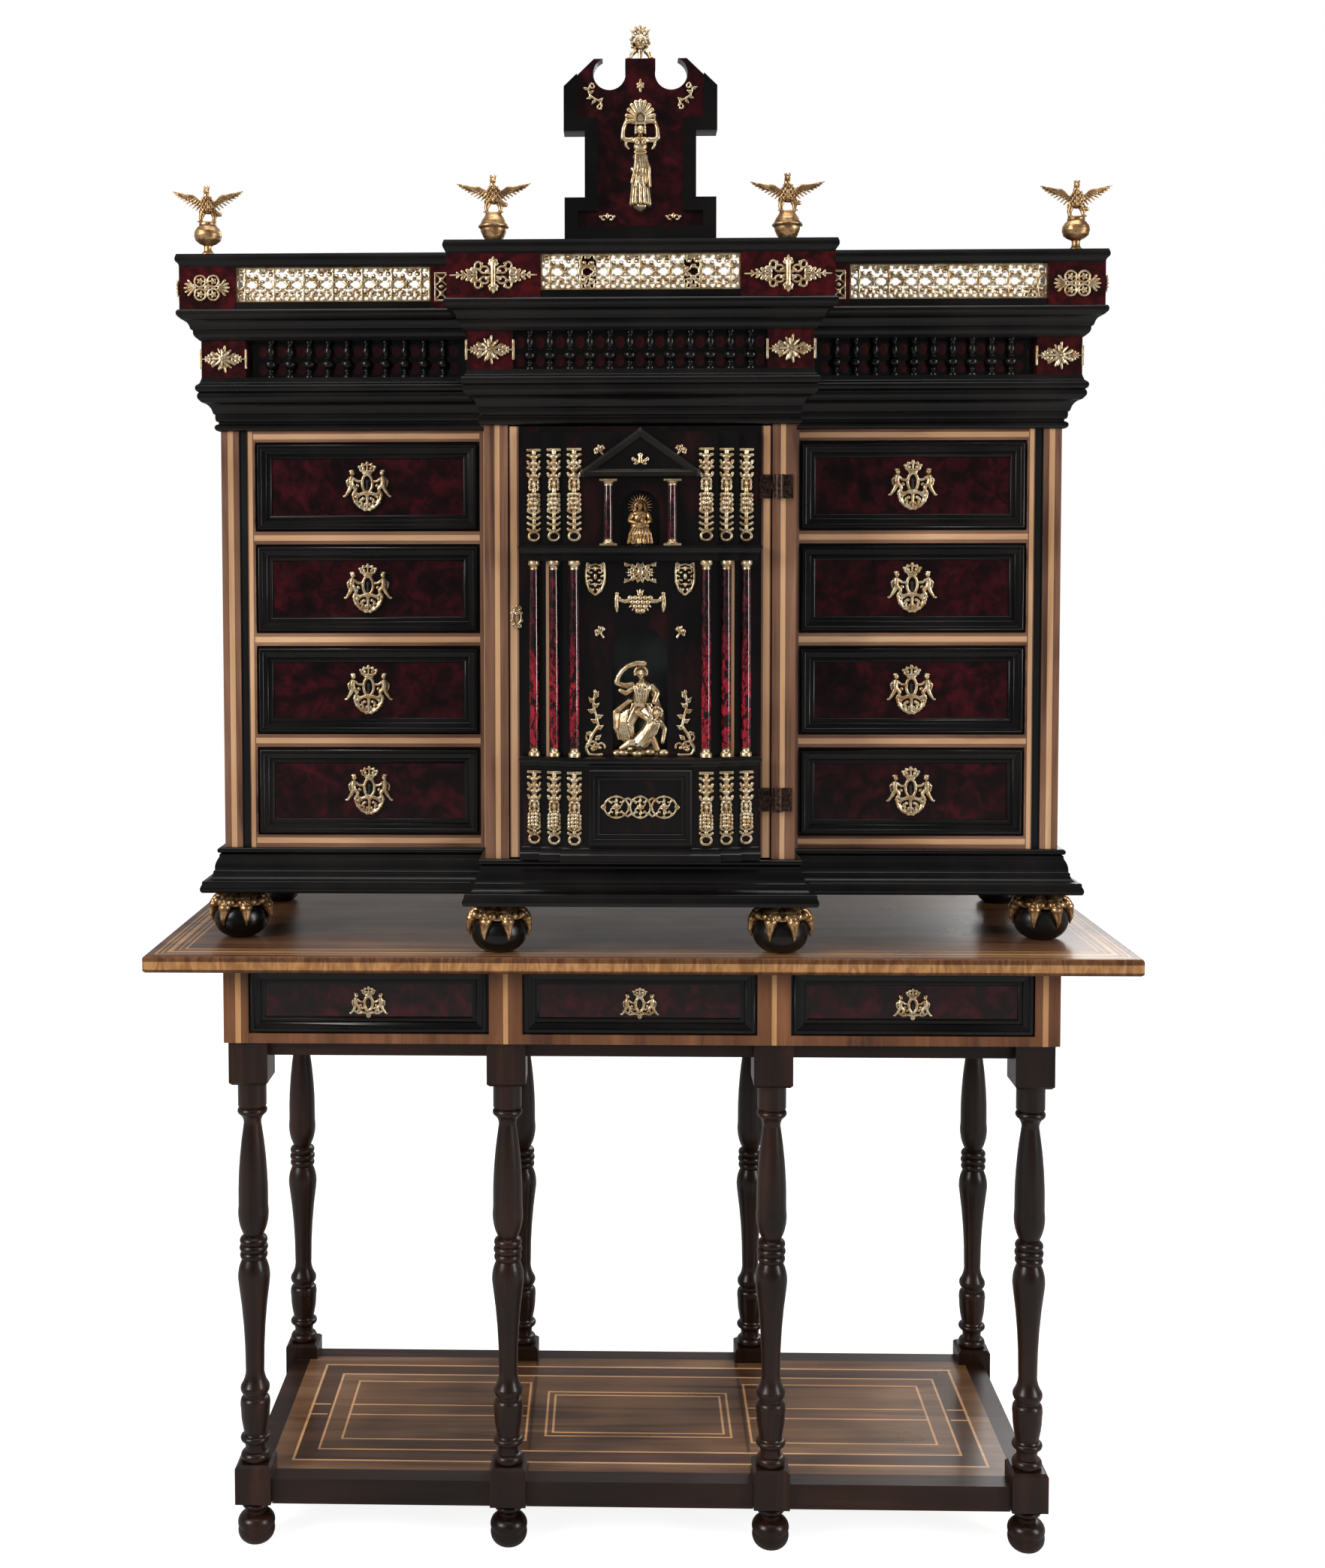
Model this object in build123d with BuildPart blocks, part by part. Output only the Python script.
from build123d import *
import os
from math import atan2, cos, degrees, hypot, radians, sin

# A vargueno: an ebonised and tortoiseshell cabinet of eight drawers round a portal door,
# standing on claw-and-ball feet on a walnut table of eight turned legs with three drawers.
# Millimetres. +X to the viewer's right, the front faces -Y, +Z up, z = 0 on the floor.

os.makedirs("parts", exist_ok=True)

# ---------------------------------------------------------------- driving sizes
glue_line = 0.1         # hair joint between pieces glued up in one sub-part
rest_gap = 0.3          # between a sliding piece and what it rests on

table_w = 1400.0        # table top
table_d = 550.0
table_t = 24.0
table_h = 882.0         # floor to the top of the table
table_end_overhang = 105.0      # table top beyond its frieze
table_front_overhang = 41.0

leg_end_inset = 33.0    # centre of an outer leg inside the frieze's end
leg_front_inset = 34.0  # and behind its front
leg_inner_x = 191.0     # centre of an inner leg
leg_block = 56.0        # square of the upper block
leg_block_h = 64.0
foot_block = 52.0       # square of the lower block
foot_block_z = 66.0     # underside of the lower block
foot_block_h = 57.0
ball_foot_r = 25.7
ball_foot_flat_r = 10.0

shelf_top = 100.0
shelf_rail_h = 37.0
shelf_rail_t = 30.0
shelf_board_t = 18.0
cleat = 12.0

frieze_h = 110.0        # table frieze
frieze_board_t = 18.0
frieze_stile_w = 36.0
inner_stile_w = 48.0
frieze_rail_h = 14.0
under_rail_h = 24.0
under_rail_t = 18.0

foot_h = 73.0           # height of the cabinet's feet
foot_ball_r = 40.0
foot_ball_h = 56.0
foot_inset_x = 17.0     # foot centre inside the case side
foot_inset_y = 26.0     # foot centre behind the case front
rear_foot_r = 38.0
rear_foot_inset_y = 42.0

case_w = 1214.0         # cabinet case
wing_d = 353.0
wing_setback = 119.0    # case front behind the table's front edge
centre_w = 434.0        # the middle bay
centre_forward = 97.0   # and how far it breaks forward
case_t = 20.0           # case boards
back_t = 15.0
base_h = 63.0           # moulded plinth
case_h = 607.0          # from the plinth to the lower cornice

stile_w = 27.0          # banded stile at each end of the case
strip_w = 11.0          # ebonised strip beside it
face_t = 18.0           # thickness of stiles and face frames
frame_side_w = 11.0     # banded frame round a bank of drawers
frame_head_h = 16.0
frame_sill_h = 18.0
bank_rail_h = 18.3      # rail between two drawers
bank_inner_w = 14.0     # face frame between the bank and the middle bay
dust_t = 8.0

drawer_gap = 0.8        # round a drawer front
box_gap = 1.2           # beside a drawer box
box_side_t = 9.0
box_back_t = 8.0
box_floor_t = 5.0
box_drop = 6.0          # drawer box below the top of its opening
front_inset = 6.0       # drawer front behind the face frame
front_t = 16.0
frame_margin = 3.2      # bare edge of a drawer front outside its moulding
frame_w = 20.0          # width of the moulding on a drawer front
skin_t = 1.5            # tortoiseshell sheet
plate_t = 2.0           # gilt plate
box_back_gap = 8.0      # behind a closed drawer
lock_w = 46.0
lock_h = 32.0
lock_t = 9.0

door_w = 364.0
door_gap = 2.0
door_seat_gap = 1.0     # behind the closed door
hinge_r = 6.5
hinge_pin_r = 2.5
hinge_fit = 0.05        # radial running clearance of the pin
hinge_h = 33.0
hinge_offset = 10.5     # hinge axis beyond the door's edge
hinge_axis_out = 7.0    # and in front of the door's face
hinge_plate_t = 2.0
hinge_plate_w = 13.0
hinge_gap = 0.3         # between knuckles along the pin
hinge_low = 84.0        # middle of the lower hinge above the case's floor line
hinge_high = 521.0

door_strip_x = (163.0, 136.0, 107.0)    # the portal's three steps, half widths
door_step_t = 8.0
pedestal_out = 12.0     # the pedestals stand this far before the steps
pedestal_foot_h = 21.0
pedestal_h = 147.0
pedestal_cap_h = 14.0
door_panel_x = 71.0
column_x = (147.0, 119.0, 91.0)
column_h = 271.0
column_r = 6.4
column_end_h = 12.0
small_column_x = 44.0
small_column_h = 91.0
small_column_r = 5.8
small_abacus_w = 24.0
small_abacus_d = 17.0
small_abacus_t = 3.0
entablature_h = 21.0
niche_x = 38.0
niche_h = 179.0
upper_niche_x = 27.0
upper_niche_h = 76.0
mount_t = 3.0

cornice_h = 75.0
frieze_band_h = 53.0
frieze_block_out = 22.0
frieze_block_w = 64.0
crown_h = 41.0
gallery_h = 60.0        # from the crown to the underside of the rail
gallery_out = 47.0      # face of the gallery blocks, proud of the case
gallery_plinth_h = 10.0
deck_t = 12.0
rail_h = 18.0
rail_out = 52.0
end_block_w = 80.0
centre_block_w = 128.0
post_w = 32.0
grille_t = 2.0
baluster_h = frieze_band_h
baluster_r = 8.5
baluster_pitch = 27.7

crest_t = 24.0
crest_setback = 19.0    # crest board behind the rail's front edge
crest_base_w = 206.0
crest_base_h = 57.0
crest_shaft_w = 151.0
crest_shaft_h = 89.0
crest_arm_w = 208.0
crest_arm_h = 60.0
crest_horn_h = 39.0
crest_horn_x = 57.0
scoop_r = 22.0
scoop_x = 42.0
crest_neck_w = 41.0
crest_band_w = 18.0     # width of the moulding along the crest's edge
crest_head_h = 49.0

# ---------------------------------------------------------------- levels and planes
crown_overhang = centre_forward + rail_out - wing_setback
table_y = crown_overhang / 2
table_front = table_y - table_d / 2
frieze_w = table_w - 2 * table_end_overhang
frieze_d = table_d - 2 * table_front_overhang
leg_outer_x = frieze_w / 2 - leg_end_inset
leg_pitch_y = frieze_d - 2 * leg_front_inset
leg_y = (table_y - leg_pitch_y / 2, table_y + leg_pitch_y / 2)
leg_x = (-leg_outer_x, -leg_inner_x, leg_inner_x, leg_outer_x)
frieze_top = table_h - table_t
frieze_z = frieze_top - frieze_h
frieze_front = table_y - frieze_d / 2
frieze_back = table_y + frieze_d / 2
wing_y = table_front + wing_setback
centre_y = wing_y - centre_forward
case_back = wing_y + wing_d
plinth_z = table_h + foot_h
case_z = plinth_z + base_h
cornice_z = case_z + case_h
band_z = cornice_z + cornice_h
crown_z = band_z + frieze_band_h
gallery_z = crown_z + crown_h
rail_z = gallery_z + gallery_h
crest_z = rail_z + rail_h
half_case = case_w / 2
half_centre = centre_w / 2
half_door = door_w / 2
door_t = face_t - door_seat_gap


# ---------------------------------------------------------------- helpers
def board(x, y, z):
    """A square-edged board between two corners, given as (low, high) along each axis."""
    with Locations(((x[0] + x[1]) / 2, (y[0] + y[1]) / 2, (z[0] + z[1]) / 2)):
        Box(x[1] - x[0], y[1] - y[0], z[1] - z[0])


def both_sides(x):
    """The same stretch of x on the left and on the right of the middle."""
    return ((-x[1], -x[0]), (x[0], x[1]))


def bow(start, end, rise):
    """An arc that bulges by rise to the right of the way from start to end."""
    run = hypot(end[0] - start[0], end[1] - start[1])
    middle_x = (start[0] + end[0]) / 2 + rise * (end[1] - start[1]) / run
    middle_y = (start[1] + end[1]) / 2 - rise * (end[0] - start[0]) / run
    ThreePointArc(start, (middle_x, middle_y), end)


def outline(points):
    """Points joined in turn; a third number on a point bows the stretch that leads to it."""
    with BuildLine() as edge:
        for start, end in zip(points, points[1:] + points[:1]):
            if len(end) == 3:
                bow(start[:2], end[:2], end[2])
            else:
                Line(start[:2], end[:2])
    make_face(edge.edges())


def mitred_run(points, length, start_turn, end_turn):
    """A moulding along +X whose outline is (out, up); +1 mitres an outer corner, -1 an inner."""
    reach = 80.0
    with BuildPart() as run:
        with BuildSketch(Plane((length + reach, 0, 0), x_dir=(0, -1, 0), z_dir=(-1, 0, 0))):
            outline(points)
        extrude(amount=length + 2 * reach)
        start_cut = Plane((glue_line / 2, 0, 0), z_dir=(1, -start_turn, 0))
        split(bisect_by=start_cut, keep=Keep.TOP)
        end_cut = Plane((length - glue_line / 2, 0, 0), z_dir=(-1, -end_turn, 0))
        split(bisect_by=end_cut, keep=Keep.TOP)
    return run.part


def runs_round(plan, z, points):
    """Mitred runs of one moulding along an open plan, walked with the outside on the right."""
    runs = []
    headings = [degrees(atan2(b[1] - a[1], b[0] - a[0])) for a, b in zip(plan, plan[1:])]
    for number, (a, b) in enumerate(zip(plan, plan[1:])):
        turns = [0, 0]
        if number > 0:
            turns[0] = 1 if (headings[number] - headings[number - 1]) % 360 < 180 else -1
        if number < len(headings) - 1:
            turns[1] = 1 if (headings[number + 1] - headings[number]) % 360 < 180 else -1
        length = hypot(b[0] - a[0], b[1] - a[1])
        run = mitred_run(points, length, turns[0], turns[1])
        runs.append(run.moved(Location((a[0], a[1], z), (0, 0, headings[number]))))
    return runs


def frame_round(x, z, y, points):
    """Four mitred mouldings round an upright rectangle that faces -Y, measured inwards."""
    corners = [(x[1], z[0]), (x[0], z[0]), (x[0], z[1]), (x[1], z[1])]
    sides = []
    for a, b in zip(corners, corners[1:] + corners[:1]):
        along = ((b[0] - a[0]), 0, (b[1] - a[1]))
        length = hypot(along[0], along[2])
        side = mitred_run(points, length, -1, -1)
        place = Plane((a[0], y, a[1]), x_dir=along, z_dir=(0, -1, 0))
        sides.append(side.moved(place.location))
    return sides


# the cabinet's front as a plan, from the back on the left to the back on the right
case_plan = [
    (-half_case, case_back),
    (-half_case, wing_y),
    (-half_centre, wing_y),
    (-half_centre, centre_y),
    (half_centre, centre_y),
    (half_centre, wing_y),
    (half_case, wing_y),
    (half_case, case_back),
]

# ================================================================ the table
# Turned legs: one outline, turned about the axis, between two square blocks
neck_top = foot_block_z + foot_block_h
block_z = frieze_z - leg_block_h
leg_turning = [
    (0, neck_top),
    (19, neck_top),
    (18, neck_top + 13, 3.2),
    (15.5, neck_top + 14),
    (17, neck_top + 28, -1.2),
    (17.5, neck_top + 38, 4.6),
    (16.5, neck_top + 40),
    (17, neck_top + 43),
    (21.2, neck_top + 78, 1.0),
    (21, neck_top + 90, 0.6),
    (17, neck_top + 95, 0.6),
    (16.5, neck_top + 99),
    (19.5, neck_top + 101),
    (20.5, neck_top + 111, 1.2),
    (13.6, neck_top + 139, -2.6),
    (22.3, neck_top + 262, -2.2),
    (17.0, neck_top + 299, 3.0),
    (17.4, neck_top + 310, 2.8),
    (17.6, neck_top + 321, 3.2),
    (17.0, neck_top + 332, 2.8),
    (14.2, neck_top + 334),
    (21.4, neck_top + 378, 3.4),
    (12.7, block_z - 62, 2.6),
    (18.5, block_z - 48, -1.8),
    (18.5, block_z - 38, 3.0),
    (20.6, block_z - 35),
    (20.6, block_z),
    (0, block_z),
]
with BuildPart() as one_leg:
    with BuildSketch(Plane.XZ):
        outline(leg_turning)
    revolve(axis=Axis.Z)
    board((-leg_block / 2, leg_block / 2), (-leg_block / 2, leg_block / 2), (block_z, frieze_z))
    board((-foot_block / 2, foot_block / 2), (-foot_block / 2, foot_block / 2), (foot_block_z, neck_top))
    square_edges = one_leg.edges().filter_by(GeomType.LINE).filter_by(
        lambda edge: abs(edge.center().Z - block_z) < 0.01 or abs(edge.center().Z - neck_top) < 0.01)
    chamfer(square_edges, 4.0)

leg_places = [(x, y) for x in leg_x for y in leg_y]
with BuildPart() as stand_legs:
    with Locations(*leg_places):
        add(one_leg.part)
stand_legs.part.label = "stand_legs"
export_step(stand_legs.part, "parts/stand_legs.step")

with BuildPart() as one_ball_foot:
    with BuildSketch(Plane.XZ):
        outline([
            (0, 0),
            (ball_foot_flat_r, 0),
            (ball_foot_r, ball_foot_r * 0.95, 7.0),
            (14.0, ball_foot_r * 1.72, 6.0),
            (14.0, ball_foot_r * 1.84),
            (18.5, foot_block_z - 12, -1.0),
            (18.5, foot_block_z - 5, 2.4),
            (15.0, foot_block_z, -0.6),
            (0, foot_block_z),
        ])
    revolve(axis=Axis.Z)
with BuildPart() as ball_feet:
    with Locations(*leg_places):
        add(one_ball_foot.part)
ball_feet.part.label = "ball_feet"
export_step(ball_feet.part, "parts/ball_feet.step")

# Shelf: deep rails between the lower blocks, cleats inside them, one marquetry board
shelf_z = (shelf_top - shelf_rail_h, shelf_top)
half_rail = shelf_rail_t / 2
half_foot = foot_block / 2
leg_gaps_x = [(a + half_foot, b - half_foot) for a, b in zip(leg_x, leg_x[1:])]
leg_gap_y = (leg_y[0] + half_foot, leg_y[1] - half_foot)
cleat_z = (shelf_top - shelf_board_t - cleat, shelf_top - shelf_board_t)
with BuildPart() as shelf_rails:
    for gap in leg_gaps_x:
        for y in leg_y:
            board(gap, (y - half_rail, y + half_rail), shelf_z)
        board(gap, (leg_y[0] + half_rail + glue_line, leg_y[0] + half_rail + cleat), cleat_z)
        board(gap, (leg_y[1] - half_rail - cleat, leg_y[1] - half_rail - glue_line), cleat_z)
    for x in (-leg_outer_x, leg_outer_x):
        board((x - half_rail, x + half_rail), leg_gap_y, shelf_z)
shelf_rails.part.label = "shelf_rails"
export_step(shelf_rails.part, "parts/shelf_rails.step")

with BuildPart() as shelf_board:
    board((-leg_outer_x + half_rail, leg_outer_x - half_rail), (leg_y[0] + half_rail, leg_y[1] - half_rail),
          (shelf_top - shelf_board_t, shelf_top))
    with Locations(*[(x, y, shelf_top) for x, y in leg_places]):
        Box(foot_block + 2 * rest_gap, foot_block + 2 * rest_gap, 4 * shelf_board_t, mode=Mode.SUBTRACT)
shelf_board.part.label = "shelf_board"
export_step(shelf_board.part, "parts/shelf_board.step")

# Frieze: carcase boards, partitions, a floor that the drawers run on and guides beside them
half_frieze = frieze_w / 2
opening_z = (frieze_z + frieze_rail_h, frieze_top)
outer_opening = (leg_inner_x + inner_stile_w / 2, half_frieze - frieze_stile_w)
centre_opening = (-leg_inner_x + inner_stile_w / 2, leg_inner_x - inner_stile_w / 2)
carcase_y = (frieze_front + face_t, frieze_back - frieze_board_t - glue_line)
inside_x = half_frieze - frieze_board_t
floor_t = 10.0
guide_h = 16.0
half_partition = frieze_board_t / 2
guide_z = (opening_z[0] + glue_line, opening_z[0] + guide_h)
with BuildPart() as frieze_carcase:
    for x in both_sides((inside_x, half_frieze)):
        board(x, carcase_y, (frieze_z, frieze_top))
    board((-half_frieze, half_frieze), (frieze_back - frieze_board_t, frieze_back), (frieze_z, frieze_top))
    board((-inside_x + glue_line, inside_x - glue_line), carcase_y, (opening_z[0] - floor_t, opening_z[0]))
    for x in both_sides((leg_inner_x - half_partition, leg_inner_x + half_partition)):
        board(x, carcase_y, (guide_z[0], frieze_top))
    for x in both_sides((centre_opening[1], leg_inner_x - half_partition - glue_line)):
        board(x, carcase_y, guide_z)
    for x in both_sides((leg_inner_x + half_partition + glue_line, outer_opening[0])):
        board(x, carcase_y, guide_z)
    for x in both_sides((outer_opening[1], inside_x - glue_line)):
        board(x, carcase_y, guide_z)
frieze_carcase.part.label = "frieze_carcase"
export_step(frieze_carcase.part, "parts/frieze_carcase.step")

with BuildPart() as frieze_frame:
    stand_frame_y = (frieze_front, frieze_front + face_t)
    board((-half_frieze, half_frieze), stand_frame_y, (frieze_z, opening_z[0]))
    stile_z = (opening_z[0] + glue_line, opening_z[1])
    for x in both_sides((outer_opening[1], half_frieze)):
        board(x, stand_frame_y, stile_z)
    for x in both_sides((centre_opening[1], outer_opening[0])):
        board(x, stand_frame_y, stile_z)
frieze_frame.part.label = "frieze_frame"
export_step(frieze_frame.part, "parts/frieze_frame.step")

half_block = leg_block / 2
block_gaps_x = [(a + half_block, b - half_block) for a, b in zip(leg_x, leg_x[1:])]
under_z = (frieze_z - under_rail_h, frieze_z)
with BuildPart() as under_rails:
    for gap in block_gaps_x:
        for y in leg_y:
            board(gap, (y - under_rail_t / 2, y + under_rail_t / 2), under_z)
    for x in (-leg_outer_x, leg_outer_x):
        board((x - under_rail_t / 2, x + under_rail_t / 2),
              (leg_y[0] + half_block, leg_y[1] - half_block), under_z)
under_rails.part.label = "under_rails"
export_step(under_rails.part, "parts/under_rails.step")

with BuildPart() as table_top:
    board((-table_w / 2, table_w / 2), (table_front, table_front + table_d), (frieze_top, table_h))
    fillet(table_top.edges().group_by(Axis.Z)[-1], 4.0)
    chamfer(table_top.edges().group_by(Axis.Z)[0], 3.0)
table_top.part.label = "table_top"
export_step(table_top.part, "parts/table_top.step")

# ================================================================ the cabinet's feet
front_feet = [
    (-half_case + foot_inset_x, wing_y + foot_inset_y),
    (-half_centre + foot_inset_x, centre_y + foot_inset_y),
    (half_centre - foot_inset_x, centre_y + foot_inset_y),
    (half_case - foot_inset_x, wing_y + foot_inset_y),
]
rear_feet = [(x, case_back - rear_foot_inset_y) for x in (-half_case + foot_inset_x, half_case - foot_inset_x)]
ball_flat_r = 12.0
ball_mid = table_h + foot_ball_h / 2
ball_top_r = 14.0
ball_top = table_h + foot_ball_h
with BuildPart() as foot_balls:
    with BuildSketch(Plane.XZ):
        outline([
            (0, table_h),
            (ball_flat_r, table_h),
            (foot_ball_r, ball_mid, 8.0),
            (ball_top_r, ball_top, 7.2),
            (0, ball_top),
        ])
    revolve(axis=Axis.Z)
with BuildPart() as rear_bun:
    with BuildSketch(Plane.XZ):
        outline([
            (0, table_h),
            (22, table_h),
            (34, table_h + 20, 5.0),
            (24, table_h + 40, 5.0),
            (22, table_h + 46),
            (24, table_h + 50),
            (rear_foot_r - 2, table_h + 66, -3.0),
            (rear_foot_r, plinth_z - 3, 1.0),
            (rear_foot_r, plinth_z),
            (0, plinth_z),
        ])
    revolve(axis=Axis.Z)
with BuildPart() as cabinet_feet:
    with Locations(*front_feet):
        add(foot_balls.part)
    with Locations(*rear_feet):
        add(rear_bun.part)
cabinet_feet.part.label = "cabinet_feet"
export_step(cabinet_feet.part, "parts/cabinet_feet.step")

# A gilt claw: a knuckled neck under the plinth and four toes that close over the ball
toe_t = 8.0
toe_angles = (-118.0, -62.0, 10.0, 170.0)
toe_spread = 21.0
with BuildPart() as one_claw:
    with BuildSketch(Plane.XZ):
        outline([
            (0, ball_top),
            (ball_top_r + 4, ball_top),
            (ball_top_r + 9, ball_top + 7, 2.0),
            (ball_top_r + 5, plinth_z, 1.0),
            (0, plinth_z),
        ])
    revolve(axis=Axis.Z)
    for angle in toe_angles:
        start = radians(angle - toe_spread / 2)
        with BuildSketch(Plane((0, 0, 0), x_dir=(cos(start), sin(start), 0), z_dir=(sin(start), -cos(start), 0))):
            outline([
                (ball_top_r, ball_top + rest_gap),
                (foot_ball_r + 0.6, ball_mid + 1, -8.6),
                (foot_ball_r + 1.6, ball_mid + 1),
                (foot_ball_r + toe_t * 0.55, ball_mid + 9, 1.5),
                (ball_top_r + 6, ball_top + toe_t, 8.0),
                (ball_top_r, ball_top + toe_t),
            ])
        revolve(axis=Axis.Z, revolution_arc=toe_spread)
with BuildPart() as claws:
    with Locations(*front_feet):
        add(one_claw.part)
claws.part.label = "claws"
export_step(claws.part, "parts/claws.step")

# ================================================================ the cabinet's case
plinth_depth = 40.0
base_outline = [
    (-plinth_depth, 0),
    (29, 0),
    (30.5, 2),
    (30.5, 9, 0.8),
    (28.5, 13),
    (27.5, 17, 0.8),
    (15.0, 26, -3.0),
    (13.0, 31, 1.0),
    (8.5, 48, 1.6),
    (7.5, 50),
    (7.5, 53),
    (5.0, 55),
    (5.0, base_h, 5.0),
    (0, base_h),
    (-plinth_depth, base_h),
]
with BuildPart() as base_moulding:
    add(runs_round(case_plan, plinth_z, base_outline))
base_moulding.part.label = "base_moulding"
export_step(base_moulding.part, "parts/base_moulding.step")

# Case boards: ends, back, floor, head, the two partitions of the middle bay and its shelf
behind_face = wing_y + face_t
behind_centre = centre_y + face_t
inside_back = case_back - back_t
head_z = cornice_z - frame_head_h + 1.0
floor_top = case_z + frame_sill_h
partition_x = (half_centre - case_t, half_centre)
shelf_t = 10.0
shelf_setback = 20.0
shelf_z0 = (floor_top + head_z) / 2
bay_inside = partition_x[0] - glue_line
with BuildPart() as case_boards:
    for x in both_sides((half_case - case_t, half_case)):
        board(x, (behind_face, case_back), (case_z, cornice_z))
    board((-half_case + case_t + glue_line, half_case - case_t - glue_line), (inside_back, case_back),
          (case_z, cornice_z))
    for x in both_sides(partition_x):
        board(x, (behind_centre, inside_back - glue_line), (case_z, cornice_z))
    for x in both_sides((half_centre + glue_line, half_case - case_t - glue_line)):
        board(x, (behind_face, inside_back - glue_line), (case_z, floor_top))
        board(x, (behind_face, inside_back - glue_line), (head_z, cornice_z))
    board((-bay_inside, bay_inside), (behind_centre, inside_back - glue_line), (case_z, floor_top))
    board((-bay_inside, bay_inside), (behind_centre, inside_back - glue_line), (head_z, cornice_z))
    board((-bay_inside, bay_inside), (behind_centre + shelf_setback, inside_back - glue_line),
          (shelf_z0, shelf_z0 + shelf_t))
case_boards.part.label = "case_boards"
export_step(case_boards.part, "parts/case_boards.step")

# Openings of one bank of four drawers, lowest first
row_count = 4
bank_x = (half_centre + bank_inner_w, half_case - stile_w - strip_w - frame_side_w)
bank_top = cornice_z - frame_head_h
row_h = (bank_top - floor_top - (row_count - 1) * bank_rail_h) / row_count
row_z = [floor_top + row * (row_h + bank_rail_h) for row in range(row_count)]
side_guide = (bank_x[1], half_case - case_t - glue_line)
inner_guide = (half_centre + glue_line, bank_x[0])
bank_guide_h = 14.0
with BuildPart() as drawer_runners:
    for row, z in enumerate(row_z):
        for guide in (side_guide, inner_guide):
            for x in both_sides(guide):
                board(x, (behind_face, inside_back - glue_line), (z + glue_line, z + bank_guide_h))
        if row > 0:
            for x in both_sides((inner_guide[0], side_guide[1])):
                board(x, (behind_face, inside_back - glue_line), (z - dust_t, z))
drawer_runners.part.label = "drawer_runners"
export_step(drawer_runners.part, "parts/drawer_runners.step")

# Face frame of each bank: two uprights, head, sill and three rails
frame_y = (wing_y, behind_face)
frame_x = (half_centre, half_case - stile_w - strip_w)
with BuildPart() as bank_frames:
    for x in both_sides((frame_x[0], bank_x[0])) + both_sides((bank_x[1], frame_x[1])):
        board(x, frame_y, (case_z, cornice_z))
    for x in both_sides((bank_x[0] + glue_line, bank_x[1] - glue_line)):
        board(x, frame_y, (case_z, floor_top))
        board(x, frame_y, (bank_top, cornice_z))
        for z in row_z[1:]:
            board(x, frame_y, (z - bank_rail_h, z))
bank_frames.part.label = "bank_frames"
export_step(bank_frames.part, "parts/bank_frames.step")

# Stiles: banded ones at the ends with an ebonised strip beside them, and beside the door
with BuildPart() as case_stiles:
    for x in both_sides((half_case - stile_w, half_case)):
        board(x, frame_y, (case_z, cornice_z))
    for x in both_sides((frame_x[1], half_case - stile_w - glue_line)):
        board(x, (wing_y + 1.5, behind_face), (case_z, cornice_z))
    for x in both_sides((half_door + door_gap, half_centre)):
        board(x, (centre_y, behind_centre), (case_z, cornice_z))
case_stiles.part.label = "case_stiles"
export_step(case_stiles.part, "parts/case_stiles.step")

# ================================================================ entablature
crown_depth = 40.0
cornice_outline = [
    (-crown_depth, 0),
    (2.5, 0),
    (2.5, 10, 5.0),
    (2.5, 13),
    (5.5, 14),
    (6.5, 23, 0.6),
    (9.0, 25),
    (10.0, 28),
    (22.5, 40, -2.6),
    (25.5, 43),
    (25.5, 54, 2.4),
    (27.5, 55),
    (27.5, 65, 2.6),
    (24.0, 69, -0.6),
    (22.0, cornice_h),
    (-crown_depth, cornice_h),
]
with BuildPart() as lower_cornice:
    add(runs_round(case_plan, cornice_z, cornice_outline))
lower_cornice.part.label = "lower_cornice"
export_step(lower_cornice.part, "parts/lower_cornice.step")

band_outline = [(-case_t, 0), (0, 0), (0, frieze_band_h), (-case_t, frieze_band_h)]
inside_cornice = half_case - crown_depth - glue_line
with BuildPart() as frieze_boards:
    add(runs_round(case_plan, band_z, band_outline))
    board((-inside_cornice, inside_cornice), (inside_back, case_back), (cornice_z, gallery_z - deck_t))
frieze_boards.part.label = "frieze_boards"
export_step(frieze_boards.part, "parts/frieze_boards.step")

# Blocks that stand out of the frieze over the ends of the wings and of the middle bay
band_zz = (band_z, crown_z)
block_in = frieze_block_w - frieze_block_out
with BuildPart() as frieze_blocks:
    for side in (-1, 1):
        for edge, face in ((half_case, wing_y), (half_centre, centre_y)):
            front_x = sorted((side * (edge - block_in), side * (edge + frieze_block_out)))
            board(front_x, (face - frieze_block_out, face - glue_line), band_zz)
            return_x = sorted((side * (edge + glue_line), side * (edge + frieze_block_out)))
            board(return_x, (face, face + block_in), band_zz)
        rear_x = sorted((side * (half_case + glue_line), side * (half_case + frieze_block_out)))
        board(rear_x, (case_back - frieze_block_w, case_back), band_zz)
frieze_blocks.part.label = "frieze_blocks"
export_step(frieze_blocks.part, "parts/frieze_blocks.step")

# Turned balusters in front of the frieze, between the blocks
baluster_out = 12.0
waist = 2.6
with BuildPart() as one_baluster:
    with BuildSketch(Plane.XZ):
        outline([
            (0, 0),
            (5.5, 0),
            (5.5, 3),
            (waist, 7, -0.8),
            (waist + 1.4, 10, 0.6),
            (waist, 13),
            (waist, 26, baluster_r - waist),
            (waist + 1.6, 28, 0.5),
            (waist, 30),
            (3.4, baluster_h - 8, 2.4),
            (waist + 0.4, baluster_h - 6),
            (5.0, baluster_h - 3, -0.5),
            (5.0, baluster_h),
            (0, baluster_h),
        ])
    revolve(axis=Axis.Z)
wing_count = 10
centre_count = 12
wing_shift = 3.75       # the row stands this far outside the middle of its gap
wing_middle = (half_centre + frieze_block_out + half_case - block_in) / 2 + wing_shift
wing_places = [wing_middle + (place - (wing_count - 1) / 2) * baluster_pitch for place in range(wing_count)]
centre_places = [(place - (centre_count - 1) / 2) * baluster_pitch for place in range(centre_count)]
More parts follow.
